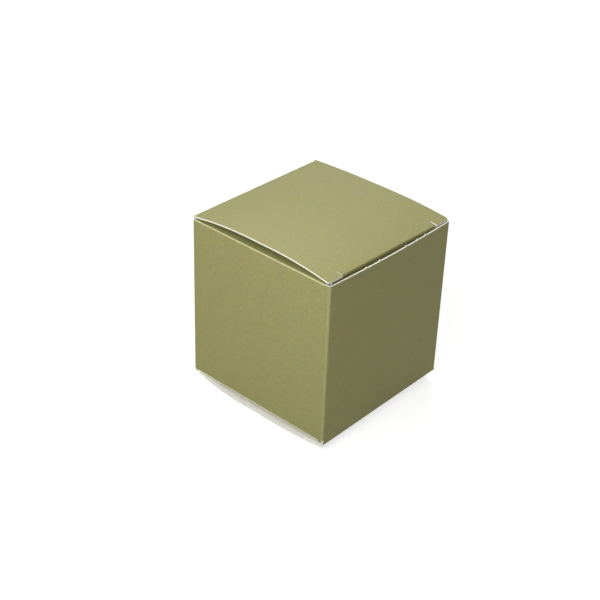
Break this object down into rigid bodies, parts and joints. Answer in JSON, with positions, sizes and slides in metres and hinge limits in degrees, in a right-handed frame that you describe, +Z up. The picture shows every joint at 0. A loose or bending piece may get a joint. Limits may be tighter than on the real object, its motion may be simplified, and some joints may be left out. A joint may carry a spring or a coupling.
{
  "type": "favor box",
  "caption": "Cube paperboard favor box with an arched tuck lid at each end, slit-locked to dust flaps, and one glued upright seam.",
  "frame": {"origin": "bottom centre of the bounding box, on the surface that the bottom lid's crown stands on", "axes": "+Z up; X along the lid creases; the front wall, behind which the top lid tucks in, faces -Y; the left wall faces -X"},
  "size_m": [0.0508, 0.052, 0.0566],
  "materials": {
    "gold_board": "satin",
    "glue": "matte"
  },
  "bodies": {
    "tube": {"front_wall": "gold_board", "rear_wall": "gold_board", "left_wall": "gold_board", "right_wall": "gold_board", "front_left_fold": "gold_board", "front_right_fold": "gold_board", "rear_left_fold": "gold_board", "seam_fold": "gold_board", "glue_flap": "gold_board", "glue_strip": "glue"},
    "top_lid": {"top_lid": "gold_board"},
    "top_tuck_flap": {"top_tuck_flap": "gold_board"},
    "top_left_dust_flap": {"top_left_dust_flap": "gold_board"},
    "top_right_dust_flap": {"top_right_dust_flap": "gold_board"},
    "bottom_lid": {"bottom_lid": "gold_board"},
    "bottom_tuck_flap": {"bottom_tuck_flap": "gold_board"},
    "bottom_left_dust_flap": {"bottom_left_dust_flap": "gold_board"},
    "bottom_right_dust_flap": {"bottom_right_dust_flap": "gold_board"}
  },
  "joints": [
    {"name": "top_lid_crease", "type": "hinge", "parent": "tube", "child": "top_lid", "pos_m": [0, 0.02517, 0.05437], "axis": [-1, 0, 0], "range_deg": [0, 165]},
    {"name": "top_tuck_crease", "type": "hinge", "parent": "top_lid", "child": "top_tuck_flap", "pos_m": [0, -0.02453, 0.05398], "axis": [-1, 0, 0], "range_deg": [0, 41.25]},
    {"name": "top_left_dust_flap_crease", "type": "hinge", "parent": "tube", "child": "top_left_dust_flap", "pos_m": [-0.02517, 0, 0.05343], "axis": [0, -1, 0], "range_deg": [0, 82.5]},
    {"name": "top_right_dust_flap_crease", "type": "hinge", "parent": "tube", "child": "top_right_dust_flap", "pos_m": [0.02517, 0, 0.05343], "axis": [0, 1, 0], "range_deg": [0, 82.5]},
    {"name": "bottom_lid_crease", "type": "hinge", "parent": "tube", "child": "bottom_lid", "pos_m": [0, -0.02517, 0.00313], "axis": [-1, 0, 0], "range_deg": [0, 165]},
    {"name": "bottom_tuck_crease", "type": "hinge", "parent": "bottom_lid", "child": "bottom_tuck_flap", "pos_m": [0, 0.02453, 0.00352], "axis": [-1, 0, 0], "range_deg": [0, 41.25]},
    {"name": "bottom_left_dust_flap_crease", "type": "hinge", "parent": "tube", "child": "bottom_left_dust_flap", "pos_m": [-0.02517, 0, 0.00407], "axis": [0, 1, 0], "range_deg": [0, 82.5]},
    {"name": "bottom_right_dust_flap_crease", "type": "hinge", "parent": "tube", "child": "bottom_right_dust_flap", "pos_m": [0.02517, 0, 0.00407], "axis": [0, -1, 0], "range_deg": [0, 82.5]}
  ],
  "couplings": [
    {"joint": "top_tuck_crease", "follows": "top_lid_crease", "ratio": 0.25},
    {"joint": "top_left_dust_flap_crease", "follows": "top_lid_crease", "ratio": 0.5},
    {"joint": "top_right_dust_flap_crease", "follows": "top_lid_crease", "ratio": 0.5},
    {"joint": "bottom_tuck_crease", "follows": "bottom_lid_crease", "ratio": 0.25},
    {"joint": "bottom_left_dust_flap_crease", "follows": "bottom_lid_crease", "ratio": 0.5},
    {"joint": "bottom_right_dust_flap_crease", "follows": "bottom_lid_crease", "ratio": 0.5}
  ]
}
